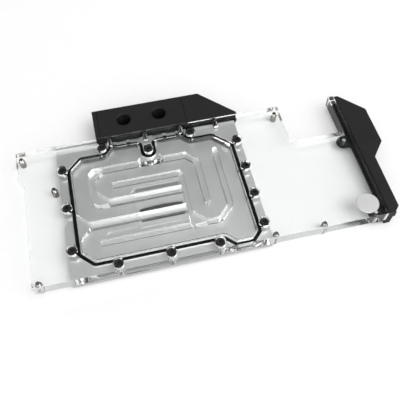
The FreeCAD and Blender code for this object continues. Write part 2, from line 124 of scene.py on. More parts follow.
@dataclass(frozen=True)
class Finish:
    """A surface finish. Colours are sRGB hex, sizes are millimetres, the centre is in metres."""

    name: str
    colour: str
    metallic: float
    roughness: float
    roughness_swing: float
    pattern: Pattern
    pitch: float
    relief: float
    ior: float = 1.5
    gloss: float = 0.5
    tone: float = 0.15
    cloud: float = 14.0
    swing: tuple[float, float] = (0.6, 1.4)
    centre: Triple = (0.0, 0.0, 0.0)

    def relief_height(self, tree: NodeTree) -> NodeSocket:
        """Builds the fine relief of the finish.

        Args:
            tree: node tree.

        Returns:
            Socket with a height from 0 to 1.
        """
        place = add_node(tree, "ShaderNodeTexCoord").outputs["Object"]
        centred = add_node(tree, "ShaderNodeMapping", {
            "Vector": place, "Location": tuple(-c for c in self.centre)})
        fine = 1.0 / (self.pitch * MM)
        if self.pattern is Pattern.TURNED:
            return add_node(tree, "ShaderNodeTexWave", {
                "Vector": centred, "Scale": WAVE_PITCH * fine, "Distortion": 1.5, "Detail": 2.0},
                wave_type="RINGS", rings_direction="Z").outputs["Fac"]
        stretch = tuple(fine * share for share in self.pattern.value)
        drawn = add_node(tree, "ShaderNodeMapping", {"Vector": centred, "Scale": stretch})
        return add_node(tree, "ShaderNodeTexNoise", {
            "Vector": drawn, "Scale": 1.0, "Detail": 4.0, "Roughness": 0.6}).outputs["Fac"]

    def shader(self, tree: NodeTree) -> Node:
        """Builds the shader node with its colour, gloss and relief.

        Args:
            tree: node tree.

        Returns:
            The shader node.
        """
        height = self.relief_height(tree)
        place = add_node(tree, "ShaderNodeTexCoord").outputs["Object"]
        cloud = add_node(tree, "ShaderNodeTexNoise", {
            "Vector": place, "Scale": 1.0 / (self.cloud * MM), "Detail": 3.0,
            "Roughness": 0.55}).outputs["Fac"]
        base = linear(self.colour)
        worn = tuple(min(1.0, c * (1.0 + self.tone)) for c in base[:3]) + (1.0,)
        dull = tuple(c * (1.0 - self.tone) for c in base[:3]) + (1.0,)
        colour = add_node(tree, "ShaderNodeMix", {"Factor": cloud, "A": dull, "B": worn}, data_type="RGBA")
        mixed = add_node(tree, MATH, {0: cloud, 1: height}, operation="ADD")
        rough = add_node(tree, "ShaderNodeMapRange", {
            "Value": mixed, "From Min": self.swing[0], "From Max": self.swing[1],
            "To Min": max(SMOOTHEST, self.roughness - self.roughness_swing),
            "To Max": self.roughness + self.roughness_swing})
        bump = add_node(tree, "ShaderNodeBump", {
            "Height": height, "Strength": 1.0, "Distance": self.relief * MM})
        shader = add_node(tree, "ShaderNodeBsdfPrincipled", {
            "Base Color": colour.outputs["Result"], "Metallic": self.metallic,
            "Roughness": rough.outputs["Result"], "Normal": bump.outputs["Normal"]})
        if self.metallic < 0.5:
            shader.inputs["IOR"].default_value = self.ior
            shader.inputs["Specular IOR Level"].default_value = self.gloss
        return shader

    def material(self) -> Material:
        """Makes the material, or finds the one already made.

        Returns:
            The material.
        """
        found = bpy.data.materials.get(self.name)
        if found is not None:
            return found
        made = bpy.data.materials.new(self.name)
        made.use_nodes = True
        made.node_tree.nodes.clear()
        add_node(made.node_tree, "ShaderNodeOutputMaterial", {"Surface": self.surface(made.node_tree)})
        return made

    def surface(self, tree: NodeTree) -> Node:
        """Gives the node that feeds the material's output."""
        return self.shader(tree)


@dataclass(frozen=True)
class ClearFinish(Finish):
    """Clear acrylic. Lamps shine through it, so that what lies below is lit.

    Light that was mirrored or bent inside more often than mirrorings and bounces say is let out. A wall
    may be hazy by a share, and have painted shade at its foot, a dark band in millimetres, of which a share
    is fully dark.
    """

    mirrorings: float = 3.5
    bounces: float = 9.5
    haze: float = 0.0
    milk: str = "#ffffff"
    shadow: str = "#f9fafa"
    node: str = "clear_top"
    foot_tall: float = 0.0
    foot_full: float = 0.8
    foot_shade_colour: str = "#101010"

    def surface(self, tree: NodeTree) -> Node:
        """Builds the glass, its haze and what the lamps pass through.

        Args:
            tree: node tree.

        Returns:
            The node that feeds the material's output.
        """
        height = self.relief_height(tree)
        bump = add_node(tree, "ShaderNodeBump", {
            "Height": height, "Strength": 1.0, "Distance": self.relief * MM})
        glass = add_node(tree, "ShaderNodeBsdfPrincipled", {
            "Base Color": self.tint_and_painted_shade(tree), "Roughness": self.roughness, "IOR": self.ior,
            "Transmission Weight": 1.0, "Normal": bump})
        if self.haze > 0:
            milky = add_node(tree, "ShaderNodeBsdfDiffuse", {"Color": linear(self.milk), "Normal": bump})
            glass = add_node(tree, "ShaderNodeMixShader", {0: self.haze, 1: glass, 2: milky})
        through = add_node(tree, "ShaderNodeBsdfTransparent", {"Color": linear(self.shadow)})
        path = add_node(tree, "ShaderNodeLightPath").outputs
        caught = add_node(tree, MATH, {0: path["Glossy Depth"], 1: self.mirrorings}, operation="GREATER_THAN")
        old = add_node(tree, MATH, {0: path["Ray Depth"], 1: self.bounces}, operation="GREATER_THAN")
        freed = add_node(tree, MATH, {0: caught, 1: old}, operation="MAXIMUM")
        leaving = add_node(tree, MATH, {0: path["Is Shadow Ray"], 1: freed}, operation="MAXIMUM")
        return add_node(tree, "ShaderNodeMixShader", {0: leaving, 1: glass, 2: through})

    def tint_and_painted_shade(self, tree: NodeTree) -> NodeSocket | tuple:
        """Gives the colour of the glass, with painted shade at the foot of a wall if the finish has one.

        Args:
            tree: node tree.

        Returns:
            The plain colour, or the socket that carries it.
        """
        if self.foot_tall <= 0:
            return linear(self.colour)
        place = add_node(tree, "ShaderNodeTexCoord").outputs["Object"]
        height = add_node(tree, "ShaderNodeSeparateXYZ", {0: place}).outputs["Z"]
        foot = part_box(self.node)[0].z
        share = add_node(tree, "ShaderNodeMapRange", {
            "Value": height, "From Min": foot + self.foot_full * self.foot_tall * MM,
            "From Max": foot + self.foot_tall * MM})
        # painted shade: the glass is darkened towards the wall's foot
        return add_node(tree, "ShaderNodeMix", {
            "Factor": share.outputs["Result"], "A": linear(self.foot_shade_colour), "B": linear(self.colour)},
            data_type="RGBA").outputs["Result"]


@dataclass(frozen=True)
class PaintedFinShadeFinish(Finish):
    """Plated metal with painted shade: a darker, duller field where the fins lie under the plate over them.

    The field is the box of the plate over it, its bottom and top moved by the lifts in millimetres.
    """

    plate: str = "jet_plate"
    lifts: tuple[float, float] = (-4.0, -0.9)
    painted_shade_colour: str = "#747371"

    def shader(self, tree: NodeTree) -> Node:
        """Builds the plating and paints shade on it inside the box.

        Args:
            tree: node tree.

        Returns:
            The shader node.
        """
        shader = super().shader(tree)
        plating = shader.inputs["Base Color"].links[0].from_socket
        place = add_node(tree, "ShaderNodeTexCoord").outputs["Object"]
        axes = add_node(tree, "ShaderNodeSeparateXYZ", {0: place}).outputs
        low, high = [end + Vector((0, 0, lift * MM)) for end, lift in zip(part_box(self.plate), self.lifts)]
        inside = 1.0
        for axis, start, end in zip(axes, low, high):
            for operation, limit in (("GREATER_THAN", start), ("LESS_THAN", end)):
                side = add_node(tree, MATH, {0: axis, 1: limit}, operation=operation)
                inside = add_node(tree, MATH, {0: side, 1: inside}, operation="MULTIPLY")
        # painted shade: the plating is darkened in the box under the jet plate, where the fins lie in shade
        colour = add_node(tree, "ShaderNodeMix", {
            "Factor": inside, "A": plating, "B": linear(self.painted_shade_colour)}, data_type="RGBA")
        feed(tree, shader.inputs["Base Color"], colour.outputs["Result"])
        return shader


def middle(node: str) -> Vector:
    """Gives the middle of a node's box in metres."""
    return Vector([(a + b) / 2 for a, b in zip(*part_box(node))])


# Cast acrylic, saw-cut, milled and flame polished: clear with sharp bright edges
CLEAR_ACRYLIC = ClearFinish("cast_acrylic_polished", "#fdfefe", 0.0, 0.0, 0.0, Pattern.GRAIN, 2.0, 0.0004,
                            ior=1.49)
# The same acrylic where the end mill left a satin wall
MILLED_ACRYLIC = ClearFinish("cast_acrylic_milled", "#fdfefe", 0.0, 0.22, 0.0, Pattern.MILLED, 0.5, 0.002,
                             ior=1.49, haze=0.30)
# The walls across the lanes: clear, with a painted shadow line at the foot where the rib meets the plate
PAINTED_SHADE_FOOT_ACRYLIC = ClearFinish("cast_acrylic_wall_painted_shade_foot", "#fdfefe", 0.0, 0.05, 0.0, Pattern.MILLED, 0.5, 0.0005,
                             ior=1.49, foot_tall=2.7)
# Copper plated with nickel: pale grey and satin, with faint lapping lines, and painted shade on the fin field
# under the jet plate
NICKEL_PLATE = PaintedFinShadeFinish("nickel_plating_satin_painted_fin_shade", "#d4d4d3", 1.0, 0.46, 0.05, Pattern.BRUSHED, 0.5, 0.0012,
                            tone=0.03)
# The same plating on the thin fins, darkened as painted shade because little light gets there
FIN_PLATE_PAINTED_SHADE = Finish("nickel_plating_fins_painted_shade", "#747371", 1.0, 0.50, 0.05, Pattern.BRUSHED, 0.3, 0.001, tone=0.05)
# Rolled stainless sheet: brighter and smoother than the plating
STAINLESS_SHEET = Finish("stainless_sheet_rolled", "#dcdcdb", 1.0, 0.44, 0.04, Pattern.BRUSHED, 0.4, 0.001,
                         tone=0.03)
# Moulded nitrile rubber: black with a dull sheen
NITRILE_RUBBER = Finish("nitrile_rubber_moulded", "#070707", 0.0, 0.55, 0.08, Pattern.GRAIN, 0.3, 0.006,
                        ior=1.52, gloss=0.1)
# Acetal, face milled: deep black with a fine soft grain
BLACK_ACETAL = Finish("acetal_face_milled", "#1b1b1c", 0.0, 0.50, 0.06, Pattern.MILLED, 0.35, 0.004,
                      ior=1.48, gloss=0.22)
# The same acetal down in the threaded ports, darkened as painted shade so that it looks black
PORT_ACETAL_PAINTED_SHADE = Finish("acetal_threaded_painted_shade", "#0a0a0b", 0.0, 0.50, 0.06, Pattern.GRAIN, 0.35, 0.002,
                     ior=1.48, gloss=0.12)
# Aluminium, bead blasted and anodised black: even, fine and slightly sparkling
BLACK_ANODISED = Finish("aluminium_anodised_black", "#1a1a1b", 0.0, 0.48, 0.07, Pattern.GRAIN, 0.25, 0.006,
                        ior=1.6, gloss=0.17)
# Turned aluminium disc, clear anodised: pale with faint rings round its middle
TURNED_ALUMINIUM = Finish("aluminium_turned", "#d4d4d4", 1.0, 0.55, 0.06, Pattern.TURNED, 0.6, 0.003,
                          tone=0.03, centre=tuple(middle("badge_disc")))
# Steel with black oxide: dark metal with an oily gloss
BLACK_OXIDE = Finish("steel_black_oxide", "#28282a", 0.6, 0.48, 0.08, Pattern.GRAIN, 0.3, 0.004)
# Zinc plated steel: grey and bright
ZINC_STEEL = Finish("steel_zinc_plated", "#d2d3d4", 1.0, 0.42, 0.06, Pattern.GRAIN, 0.3, 0.003)
# Nickel plated brass: bright turned pillars
NICKEL_BRASS = Finish("brass_nickel_plated", "#a9a6a0", 1.0, 0.18, 0.05, Pattern.TURNED, 0.4, 0.002)


@dataclass
class Part:
    """A piece of the scene that rides on the object."""

    name: str
    finish: Finish

    def settle(self, piece: Object, slot: str, replaced: tuple[str, ...] = ()) -> Object:
        """Dresses a finished mesh, ties it to the body and reports it.

        Args:
            piece: the object, already in place.
            slot: the record's material slot; not used.
            replaced: CAD nodes that the piece stands for.

        Returns:
            The same object.
        """
        piece.data.materials.clear()
        piece.data.materials.append(self.finish.material())
        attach(piece, ROOT)
        if replaced:
            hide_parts(*replaced)
        log.info("%s: %d faces", piece.name, len(piece.data.polygons))
        return piece


def new_object(name: str, data: ID) -> Object:
    """Links a mesh, a lamp or a camera to the scene as an object at the origin.

    Args:
        name: the object's name.
        data: what it shows.

    Returns:
        The object.
    """
    made = bpy.data.objects.new(name, data)
    bpy.context.scene.collection.objects.link(made)
    return made


def smooth_below(mesh: Mesh, degrees: float) -> None:
    """Shades a mesh smooth, apart from edges that turn by more than an angle."""
    mesh.shade_smooth()
    mesh.set_sharp_from_angle(angle=math.radians(degrees))


def welded(node: str) -> BMesh:
    """Copies the loose triangles of a solid and merges their corners.

    Args:
        node: the CAD node's name.

    Returns:
        The working mesh, with its normals.
    """
    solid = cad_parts[node].data
    bare = bpy.data.meshes.new(node + "_bare")
    bare.from_pydata([v.co for v in solid.vertices], [], [tuple(f.vertices) for f in solid.polygons])
    work = bmesh.new()
    work.from_mesh(bare)
    bpy.data.meshes.remove(bare)
    bmesh.ops.remove_doubles(work, verts=work.verts, dist=WELD * MM)
    work.normal_update()
    return work


def shift(work: BMesh, move: Callable[[BMVert], Vector]) -> None:
    """Moves every corner of a mesh, once all the moves are known.

    Args:
        work: the working mesh.
        move: gives a corner's move in metres.
    """
    moves = [move(vert) for vert in work.verts]
    for vert, step in zip(work.verts, moves):
        vert.co += step


def plain_mesh(work: BMesh, name: str) -> Mesh:
    """Turns a working mesh to a plain one and frees it.

    Args:
        work: the working mesh.
        name: name of the plain mesh.

    Returns:
        The plain mesh.
    """
    mesh = bpy.data.meshes.new(name)
    work.to_mesh(mesh)
    work.free()
    return mesh


@dataclass
class ClearCover(Part):
    """The milled acrylic cover, with a hair of air between it and what it touches. Sizes in millimetres.

    The lane walls are those between lane_low and lane_high above the seal, more than rim inside the back of
    the seal, and slanted enough to the front or back. The rib between the two slots is laid in one line
    with its left part. Its box and steps are hundredths of the plate's length and width, and the step of
    a wall holds its start, its length and its way to the front.
    """

    node: str = "clear_top"
    seal: str = "main_gasket"
    plate: str = "cold_plate"
    walls: tuple[ClearFinish, ClearFinish] = (MILLED_ACRYLIC, PAINTED_SHADE_FOOT_ACRYLIC)
    air: float = 0.05
    air_reach: float = 2.5
    same_way: float = 0.999
    flat_share: float = 0.05
    lane_low: float = 0.1
    lane_high: float = 5.0
    rim: float = 6.0
    slant: float = 0.2
    crease: float = 25.0
    rib_along: tuple[float, float] = (35.2, 63.4)
    rib_across: tuple[float, float] = (33.6, 40.6)
    rib_middle: float = 37.2
    back_step: Triple = (35.5, 1.9, 2.5)
    front_step: Triple = (37.8, 2.1, 2.6)

    def build(self) -> Object:
        """Copies the solid, welds its triangles and draws each face in by the air gap.

        Returns:
            The finished piece.
        """
        work = welded(self.node)
        bmesh.ops.dissolve_degenerate(work, edges=work.edges, dist=WELD * MM)
        work.normal_update()
        low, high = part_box(self.seal)
        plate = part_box(self.plate)
        roof = high.z + self.lane_high * MM
        shift(work, lambda vert: self.inward(vert) + self.straighten(vert, *plate, roof))
        work.normal_update()
        for face in work.faces:
            face.material_index = self.wall(face, low, high)
        mesh = plain_mesh(work, self.name)
        smooth_below(mesh, self.crease)
        piece = self.settle(new_object(self.name, mesh), "clear_acrylic", (self.node,))
        for wall in self.walls:
            piece.data.materials.append(wall.material())
        return piece

    def straighten(self, vert: BMVert, low: Vector, high: Vector, roof: float) -> Vector:
        """Works out the move that lays the rib between the two slots in one line with its left part.

        Args:
            vert: corner of the welded solid.
            low: lowest corner of the plate's box.
            high: highest corner of the plate's box.
            roof: height over which nothing moves.

        Returns:
            The move in metres.
        """
        along = 100 * (vert.co.x - low.x) / (high.x - low.x)
        across = 100 * (vert.co.y - low.y) / (high.y - low.y)
        in_rib = (self.rib_along[0] < along < self.rib_along[1]
                  and self.rib_across[0] < across < self.rib_across[1])
        if vert.co.z > roof or not in_rib:
            return Vector()
        start, length, step = self.back_step if across > self.rib_middle else self.front_step
        share = max(0.0, min(1.0, (along - start) / length))
        return Vector((0.0, -step * share / 100 * (high.y - low.y), 0.0))

    def wall(self, face: BMFace, low: Vector, high: Vector) -> int:
        """Tells which finish a face of the cover has.

        Args:
            face: face of the cover.
            low: lowest corner of the seal's box.
            high: highest corner of the seal's box.

        Returns:
            0 for polished, 1 for a lane's satin wall, 2 for a lane's wall with painted shade at its foot.
        """
        centre = face.calc_center_median()
        inside = low.x < centre.x < high.x and low.y < centre.y < high.y - self.rim * MM
        in_lane = self.lane_low * MM < centre.z - high.z < self.lane_high * MM
        if not (inside and in_lane) or abs(face.normal.y) < self.slant:
            return 0
        return 1 if face.normal.y > 0 else 2

    def inward(self, vert: BMVert) -> Vector:
        """Works out the move that draws every face round a corner in by the same distance.

        Args:
            vert: corner of the welded solid.

        Returns:
            The move in metres.
        """
        normals = []
        for face in vert.link_faces:
            if face.calc_area() > SPECK and all(face.normal.dot(n) < self.same_way for n in normals):
                normals.append(face.normal.copy())
        if not normals:
            return Vector()
        rows = np.array([tuple(n) for n in normals])
        wanted = np.full(len(normals), -self.air * MM)
        move = np.linalg.lstsq(rows, wanted, rcond=self.flat_share)[0]
        size = float(np.linalg.norm(move))
        limit = self.air_reach * self.air * MM
        return Vector(move * min(1.0, limit / size)) if size > 0 else Vector()


@dataclass
class CordSeal(Part):
    """The cord squeezed flat between groove and plate. Sizes in millimetres from the cord's middle."""

    node: str = "main_gasket"
    radius: float = 1.0
    wide: float = 1.32
    tall: float = 1.15
    fullness: float = 4.0
    crease: float = 60.0

    def build(self) -> Object:
        """Copies the round cord, welds it and squeezes its section.

        Returns:
            The finished piece.
        """
        work = welded(self.node)
        level = middle(self.node).z
        shift(work, lambda vert: self.squeeze(vert, level))
        mesh = plain_mesh(work, self.name)
        smooth_below(mesh, self.crease)
        return self.settle(new_object(self.name, mesh), "black_rubber", (self.node,))

    def squeeze(self, vert: BMVert, level: float) -> Vector:
        """Works out the move from the round section to the squeezed one.

        Args:
            vert: corner of the round cord.
            level: height of the cord's middle in metres.

        Returns:
            The move in metres.
        """
        up = max(-1.0, min(1.0, (vert.co.z - level) / (self.radius * MM)))
        side = Vector((vert.normal.x, vert.normal.y, 0.0))
        out = math.sqrt(max(0.0, 1.0 - up * up))
        if side.length > 1e-6:
            side.normalize()
        tall = self.tall if up > 0 else self.radius
        bulge = (out / self.wide) ** self.fullness + (abs(up) / tall) ** self.fullness
        grown = bulge ** (-1.0 / self.fullness) - self.radius
        return (side * out + Vector((0.0, 0.0, up))) * grown * MM


@dataclass
class PressedFace(Part):
    """The thin skin of a black piece at the acrylic's edge; where it spans open windows it is painted shade.
    Each span is a box in metres.
    """

    slot: str
    spans: list[tuple[Vector, Vector]]

    def build(self) -> Object:
        """Makes one thin slab for each span.

        Returns:
            The finished piece.
        """
        work = bmesh.new()
        for low, high in self.spans:
            for vert in bmesh.ops.create_cube(work, size=1.0)["verts"]:
                vert.co = Vector([a + (b - a) * (part + 0.5) for a, b, part in zip(low, high, vert.co)])
        return self.settle(new_object(self.name, plain_mesh(work, self.name)), self.slot)


@dataclass
class PressedFaces:
    """What shows black through the acrylic's edges: the terminal, its fairing and the end cover, with painted
    shade across the terminal's open windows.

    Sizes in millimetres. A skin stops foot above the cover's underside and some way below its top.
    """

    cover: str = "clear_top"
    plate: str = "cold_plate"
    block: str = "terminal_block"
    end: str = "end_cover"
    thick: float = 0.12
    foot: float = 0.2
    past_plate: float = 2.0
    below_top: tuple[tuple[str, str, float], ...] = (
        ("terminal_end_plate", "terminal_block", 1.2), ("terminal_fairing", "terminal_fairing", 2.9))
    end_inset: float = 6.0
    end_below_top: float = 0.5

    def build(self) -> None:
        """Places the skins behind the back edge and beside the right edge."""
        low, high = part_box(self.cover)
        floor = low.z + self.foot * MM
        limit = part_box(self.plate)[1].x + self.past_plate * MM
        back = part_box(self.block)[0].y
        spans = []
        for first, last, sunk in self.below_top:
            start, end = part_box(first)[0].x, min(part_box(last)[1].x, limit)
            spans.append((Vector((start, back - self.thick * MM, floor)),
                          Vector((end, back, high.z - sunk * MM))))
        # the terminal skin is the black face against the acrylic, and painted shade where it covers the open
        # windows
        PressedFace("terminal_skin_and_painted_shade", BLACK_ACETAL, "black_acetal", spans).build()
        end_low, end_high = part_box(self.end)
        span = (Vector((high.x - self.thick * MM, end_low.y + self.end_inset * MM, floor)),
                Vector((high.x, end_high.y - self.end_inset * MM, high.z - self.end_below_top * MM)))
        PressedFace("cover_skin", BLACK_ANODISED, "black_anodised", [span]).build()


@dataclass
class GraphPiece(Part):
    """A piece that a Geometry Nodes tree makes from points."""

    def tree(self, inputs: dict[str, str]) -> tuple[NodeTree, Node]:
        """Starts a tree with named inputs.

        Args:
            inputs: input name to socket type.

        Returns:
            The tree and its input node.
        """
        tree = bpy.data.node_groups.new(self.name + "_tree", "GeometryNodeTree")
        kinds = {"Points": "NodeSocketGeometry", **inputs, "Finish": "NodeSocketMaterial"}
        for name, kind in kinds.items():
            tree.interface.new_socket(name, in_out="INPUT", socket_type=kind)
        tree.interface.new_socket("Geometry", in_out="OUTPUT", socket_type="NodeSocketGeometry")
        return tree, add_node(tree, "NodeGroupInput")

    def close(self, tree: NodeTree, given: Node, shape: Feed, turn: Feed | None = None) -> None:
        """Puts the shape on every point and ends the tree in real meshes with their finish.

        Args:
            tree: the tree.
            given: its input node.
            shape: what carries one shape.
            turn: what carries the shape's turn, if it has one.
        """
        inputs = {"Points": given.outputs["Points"], "Instance": shape}
        if turn is not None:
            inputs["Rotation"] = turn
        placed = add_node(tree, "GeometryNodeInstanceOnPoints", inputs)
        real = add_node(tree, "GeometryNodeRealizeInstances", {"Geometry": placed})
        dressed = add_node(tree, "GeometryNodeSetMaterial", {
            "Geometry": real, "Material": given.outputs["Finish"]})
        add_node(tree, "NodeGroupOutput", {"Geometry": dressed})

    def grow(self, tree: NodeTree, points: list[Vector], values: dict[str, float | Vector]) -> Object:
        """Runs the tree on points and keeps the result as a plain mesh.

        Args:
            tree: the finished tree.
            points: where the shapes go, in metres.
            values: input name to value.

        Returns:
            The object with its plain mesh and no modifier.
        """
        mesh = bpy.data.meshes.new(self.name)
        mesh.from_pydata([tuple(p) for p in points], [], [])
        piece = new_object(self.name, mesh)
        modifier = piece.modifiers.new("grow", "NODES")
        modifier.node_group = tree
        known = values | {"Finish": self.finish.material()}
        for item in tree.interface.items_tree:
            if item.in_out == "INPUT" and item.name in known:
                modifier[item.identifier] = known[item.name]
        bpy.context.view_layer.update()
        graph = bpy.context.evaluated_depsgraph_get()
        made = bpy.data.meshes.new_from_object(piece.evaluated_get(graph))
        piece.modifiers.clear()
        piece.data = made
        made.name = self.name
        return piece


@dataclass
class Turned(GraphPiece):
    """A shape turned round its axis: rings of points, whose radius and height follow a rule."""

    around: int = 72
    seam: float = 0.002

    def rings(self, tree: NodeTree, count: int) -> tuple[Node, ...]:
        """Starts a sheet that wraps once round the axis.

        Args:
            tree: node tree.
            count: number of rings.

        Returns:
            Nodes with the sheet, the share of a turn and the ring's share, both from 0 to 1.
        """
        sheet = add_node(tree, "GeometryNodeMeshGrid", {
            "Size X": 1.0, "Size Y": 1.0, "Vertices X": self.around + 1, "Vertices Y": count})
        place = add_node(tree, "ShaderNodeSeparateXYZ", {0: add_node(tree, "GeometryNodeInputPosition")})
        share, ring = [add_node(tree, MATH, {0: place.outputs[axis], 1: 0.5}, operation="ADD")
                       for axis in ("X", "Y")]
        return sheet, share, ring

    def wrap(self, tree: NodeTree, sheet: Feed, share: Feed, radius: Feed, height: Feed) -> Node:
        """Bends the sheet to its radius and height and welds its seam.

        Args:
            tree: node tree.
            sheet: what carries the sheet.
            share: share of a turn.
            radius: distance from the axis.
            height: place along the axis.

        Returns:
            Node with the closed shape.
        """
        angle = add_node(tree, MATH, {0: share, 1: 2 * math.pi}, operation="MULTIPLY")
        flat = []
        for operation in ("COSINE", "SINE"):
            reach = add_node(tree, MATH, {0: angle}, operation=operation)
            flat.append(add_node(tree, MATH, {0: radius, 1: reach}, operation="MULTIPLY"))
        place = add_node(tree, "ShaderNodeCombineXYZ", {0: flat[0], 1: flat[1], 2: height})
        bent = add_node(tree, "GeometryNodeSetPosition", {"Geometry": sheet, "Position": place})
        return add_node(tree, "GeometryNodeMergeByDistance", {"Geometry": bent, "Distance": self.seam * MM})

    def thread(self, tree: NodeTree, given: Node, count: int, names: tuple[str, str],
               deep: Feed) -> tuple[Node, ...]:
        """Winds a thread round the axis, from height 0 down.

        Args:
            tree: node tree.
            given: its input node.
            count: number of rings.
            names: the inputs with the radius where the thread is widest and with its length.
            deep: twice the depth of the thread.

        Returns:
            Nodes with the sheet, the share of a turn, the ring's share, the radius and the height.
        """
        sheet, share, ring = self.rings(tree, count)
        along = add_node(tree, MATH, {0: ring, 1: given.outputs[names[1]]}, operation="MULTIPLY")
        turns = add_node(tree, MATH, {0: along, 1: given.outputs["Pitch"]}, operation="DIVIDE")
        sunk = add_node(tree, MATH, {0: share, 1: turns}, operation="ADD")
        for operation, value in (("FRACT", 0.0), ("SUBTRACT", 0.5), ("ABSOLUTE", 0.0), ("MULTIPLY", deep)):
            sunk = add_node(tree, MATH, {0: sunk, 1: value}, operation=operation)
        radius = add_node(tree, MATH, {0: given.outputs[names[0]], 1: sunk}, operation="SUBTRACT")
        down = add_node(tree, MATH, {0: along, 1: -1.0}, operation="MULTIPLY")
        return sheet, share, ring, radius, down


@dataclass
class SocketScrews(Turned):
    """Socket head cap screws: knurled head, hexagon socket and rolled thread. Sizes in millimetres.

    The bevel, the knurl and the mouth are shares of the head's radius, of a radius and of the hexagon.
    """

    seats: list[Vector] = field(default_factory=list)
    turn: Triple = (0.0, 0.0, 0.0)
    head_radius: float = 3.5
    head_height: float = 4.0
    shank_radius: float = 2.0
    shank_length: float = 10.0
    hex_across: float = 3.0
    hex_depth: float = 2.2
    pitch: float = 0.7
    bevel: float = 0.06
    knurl: float = 0.018
    mouth: float = 1.35
    thread_depth: float = 1.1
    rings_a_turn: int = 4
    crease: float = 28.0
    slot: str = "black_steel"
    nodes: tuple[str, ...] = ()

    def build(self) -> Object:
        """Builds the tree, grows the screws on their seats and hides the plain ones.

        Returns:
            The finished piece.
        """
        sizes = {
            "Head Radius": self.head_radius, "Head Height": self.head_height,
            "Shank Radius": self.shank_radius, "Shank Length": self.shank_length,
            "Hex Across": self.hex_across, "Hex Depth": self.hex_depth, "Pitch": self.pitch}
        kinds = {name: "NodeSocketFloat" for name in sizes}
        tree, given = self.tree(kinds | {"Turn": "NodeSocketVector"})
        both = add_node(tree, "GeometryNodeJoinGeometry")
        for half in (self.head(tree, given), self.shank(tree, given)):
            feed(tree, both.inputs[0], half)
        turn = add_node(tree, "FunctionNodeEulerToRotation", {0: given.outputs["Turn"]})
        self.close(tree, given, both, turn)
        values = {name: value * MM for name, value in sizes.items()} | {"Turn": Vector(self.turn)}
        piece = self.grow(tree, self.seats, values)
        smooth_below(piece.data, self.crease)
        return self.settle(piece, self.slot, self.nodes)

    def head(self, tree: NodeTree, given: Node) -> Node:
        """Turns the head, from its underside up the knurled side and down into the hexagon.

        A row of the profile holds a radius and the bevels taken off it, a height and the bevels taken off
        it, and whether the ring is knurled or six-sided.

        Args:
            tree: node tree.
            given: its input node.

        Returns:
            Node with the head, its seat at height 0.
        """
        big, tall, core = [given.outputs[name] for name in ("Head Radius", "Head Height", "Shank Radius")]
        floor = add_node(tree, MATH, {0: tall, 1: given.outputs["Hex Depth"]}, operation="SUBTRACT")
        bevel = add_node(tree, MATH, {0: big, 1: self.bevel}, operation="MULTIPLY")
        half = add_node(tree, MATH, {0: given.outputs["Hex Across"], 1: 0.5}, operation="MULTIPLY")
        mouth = add_node(tree, MATH, {0: half, 1: self.mouth}, operation="MULTIPLY")
        rows = [
            (core, 0.0, 0.0, 0.0, 0, 0),
            (big, 1.0, 0.0, 0.0, 0, 0),
            (big, 0.0, 0.0, -1.0, 1, 0),
            (big, 0.0, tall, 4.0, 1, 0),
            (big, 1.0, tall, 2.4, 0, 0),
            (big, 3.2, tall, 0.0, 0, 0),
            (mouth, 0.0, tall, 0.0, 0, 0),
            (half, 0.0, tall, 1.0, 0, 1),
            (half, 0.0, floor, 0.0, 0, 1),
            (0.0, 0.0, floor, 1.5, 0, 0)]
        sheet, share, ring = self.rings(tree, len(rows))
        count = add_node(tree, MATH, {0: ring, 1: len(rows) - 1}, operation="MULTIPLY")
        index = add_node(tree, MATH, {0: count}, operation="ROUND")
        picked = []
        for column in zip(*rows):
            switch = add_node(tree, "GeometryNodeIndexSwitch", data_type="FLOAT")
            while len(switch.index_switch_items) < len(rows):
                switch.index_switch_items.new()
            for socket, value in zip(switch.inputs, (index, *column)):
                feed(tree, socket, value)
            picked.append(switch)
        wide, narrower, high, lower, knurled, six_sided = picked
        short = [add_node(tree, MATH, {0: bevel, 1: bevels}, operation="MULTIPLY")
                 for bevels in (narrower, lower)]
        radius = add_node(tree, MATH, {0: wide, 1: short[0]}, operation="SUBTRACT")
        height = add_node(tree, MATH, {0: high, 1: short[1]}, operation="SUBTRACT")
        factor = self.shaping(tree, share, knurled, six_sided)
        shaped = add_node(tree, MATH, {0: radius, 1: factor}, operation="MULTIPLY")
        return self.wrap(tree, sheet, share, shaped, height)

    def shaping(self, tree: NodeTree, share: Feed, knurled: Feed, six_sided: Feed) -> Node:
        """Sinks every second point of a knurled ring, and draws a six-sided one out to flats and corners.

        Args:
            tree: node tree.
            share: share of a turn.
            knurled: 1 on a knurled ring, else 0.
            six_sided: 1 on a six-sided ring, else 0.

        Returns:
            Node with what the radius is multiplied by.
        """
        grip, reach, sixth = share, share, math.pi / 3
        for operation, value in (("MULTIPLY", math.pi * self.around), ("COSINE", 0.0),
                                 ("MULTIPLY", self.knurl), ("SUBTRACT", self.knurl), ("MULTIPLY", knurled)):
            grip = add_node(tree, MATH, {0: grip, 1: value}, operation=operation)
        for operation, value in (("MULTIPLY", 2 * math.pi), ("MODULO", sixth), ("SUBTRACT", sixth / 2),
                                 ("COSINE", 0.0)):
            reach = add_node(tree, MATH, {0: reach, 1: value}, operation=operation)
        factor = add_node(tree, MATH, {0: 1.0, 1: reach}, operation="DIVIDE")
        for operation, value in (("SUBTRACT", 1.0), ("MULTIPLY", six_sided), ("ADD", grip), ("ADD", 1.0)):
            factor = add_node(tree, MATH, {0: factor, 1: value}, operation=operation)
        return factor

